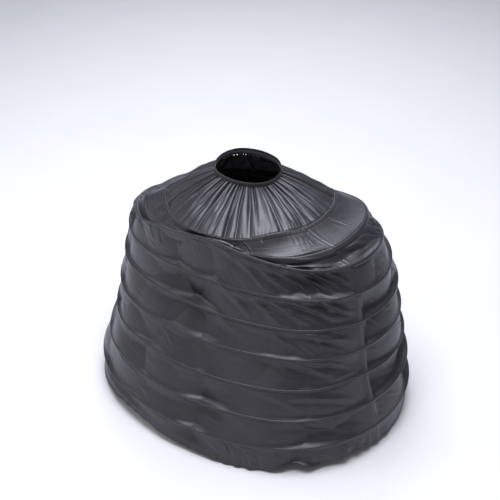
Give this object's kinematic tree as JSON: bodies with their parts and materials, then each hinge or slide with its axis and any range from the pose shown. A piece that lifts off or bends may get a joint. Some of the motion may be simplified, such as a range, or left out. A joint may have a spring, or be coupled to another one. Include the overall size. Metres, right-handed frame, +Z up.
{
  "type": "covered crinoline cage",
  "caption": "Hooped petticoat: steel hoops in sewn channels inside a taffeta cover, hung from a gathered yoke and waistband.",
  "frame": {"origin": "middle of the waist opening, at the waistband's upper edge", "axes": "+Z up out of the waist, -Y the wearer's front, +X the wearer's left"},
  "size_m": [1.27, 1.0598, 0.9858],
  "materials": {
    "taffeta": "soft satin sheen",
    "waistband_cloth": "matte ribbed",
    "elastic": "matte",
    "channel_tape": "matte twill",
    "facing_tape": "matte",
    "hoop_steel": "dull spring steel",
    "joining_sleeve": "matte"
  },
  "bodies": {
    "root": {"waistband": "waistband_cloth", "waist_elastic": "elastic", "yoke": "taffeta", "skirt_front": "taffeta", "skirt_back": "taffeta", "hem_facing": "facing_tape", "hoop_channel_1": "channel_tape", "hoop_channel_2": "channel_tape", "hoop_channel_3": "channel_tape", "hoop_channel_4": "channel_tape", "hoop_channel_5": "channel_tape", "hoop_channel_6": "channel_tape", "hoop_channel_7": "channel_tape", "hoop_channel_8": "channel_tape", "hoop_channel_9": "channel_tape", "hoop_steel_1": "hoop_steel", "hoop_steel_2": "hoop_steel", "hoop_steel_3": "hoop_steel", "hoop_steel_4": "hoop_steel", "hoop_steel_5": "hoop_steel", "hoop_steel_6": "hoop_steel", "hoop_steel_7": "hoop_steel", "hoop_steel_8": "hoop_steel", "hoop_steel_9": "hoop_steel", "hoop_sleeve_1": "joining_sleeve", "hoop_sleeve_2": "joining_sleeve", "hoop_sleeve_3": "joining_sleeve", "hoop_sleeve_4": "joining_sleeve", "hoop_sleeve_5": "joining_sleeve", "hoop_sleeve_6": "joining_sleeve", "hoop_sleeve_7": "joining_sleeve", "hoop_sleeve_8": "joining_sleeve", "hoop_sleeve_9": "joining_sleeve"}
  },
  "joints": []
}
